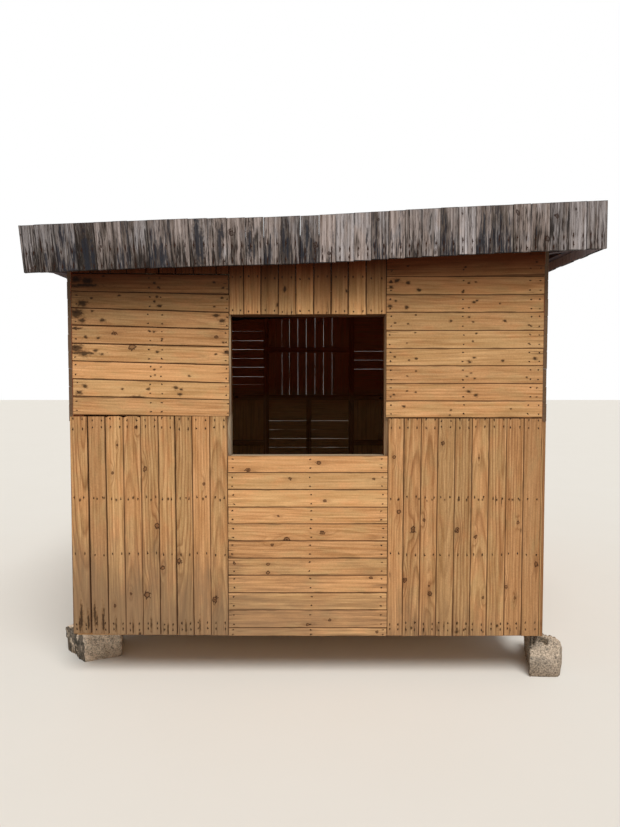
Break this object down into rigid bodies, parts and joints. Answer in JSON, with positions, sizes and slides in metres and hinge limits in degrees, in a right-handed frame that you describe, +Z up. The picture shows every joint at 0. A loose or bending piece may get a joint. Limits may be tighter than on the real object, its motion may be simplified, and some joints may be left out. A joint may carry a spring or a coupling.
{
  "type": "street kiosk",
  "caption": "Small timber street kiosk clad in pallet boards, with an open serving window, a plank side door and a low-pitched roof behind a deep fascia, on rough blocks.",
  "frame": {"origin": "on the floor, under the middle of the roof's outline", "axes": "+X to the right and up the roof's slope, as seen from the serving window's side; +Y from the window's wall to the rear; +Z up"},
  "size_m": [2.882, 3.348, 2.4538],
  "materials": {
    "sandcrete": "rough",
    "frame_timber": "rough sawn",
    "floor_boards": "rough sawn",
    "wall_boards": "bare, weathered",
    "grey_boards": "bare, silvered",
    "roof_metal": "galvanised, dull",
    "hinge_iron": "rusty"
  },
  "bodies": {
    "root": {"block_front_left": "sandcrete", "block_front_right": "sandcrete", "block_back_left": "sandcrete", "block_back_right": "sandcrete", "floor_bearers": "frame_timber", "floor_joists": "frame_timber", "corner_posts": "frame_timber", "front_studs": "frame_timber", "back_studs": "frame_timber", "left_studs": "frame_timber", "right_studs": "frame_timber", "front_rails": "frame_timber", "back_rails": "frame_timber", "left_rails": "frame_timber", "right_rails": "frame_timber", "window_sill": "frame_timber", "window_head": "frame_timber", "front_plate": "frame_timber", "back_plate": "frame_timber", "left_plate": "frame_timber", "right_plate": "frame_timber", "door_ledges": "frame_timber", "roof_beam": "frame_timber", "roof_purlins": "frame_timber", "floor_deck": "floor_boards", "front_upper_boards": "wall_boards", "front_lower_boards": "wall_boards", "back_upper_boards": "wall_boards", "back_lower_boards": "wall_boards", "left_upper_boards": "wall_boards", "left_lower_boards": "wall_boards", "right_upper_boards": "wall_boards", "right_lower_boards": "wall_boards", "door_leaf": "wall_boards", "eave_rails": "grey_boards", "verge_rails": "grey_boards", "front_fascia": "grey_boards", "back_fascia": "grey_boards", "left_fascia": "grey_boards", "right_fascia": "grey_boards", "roof_sheet": "roof_metal", "door_hinges": "hinge_iron", "door_hasp": "hinge_iron"}
  },
  "joints": []
}
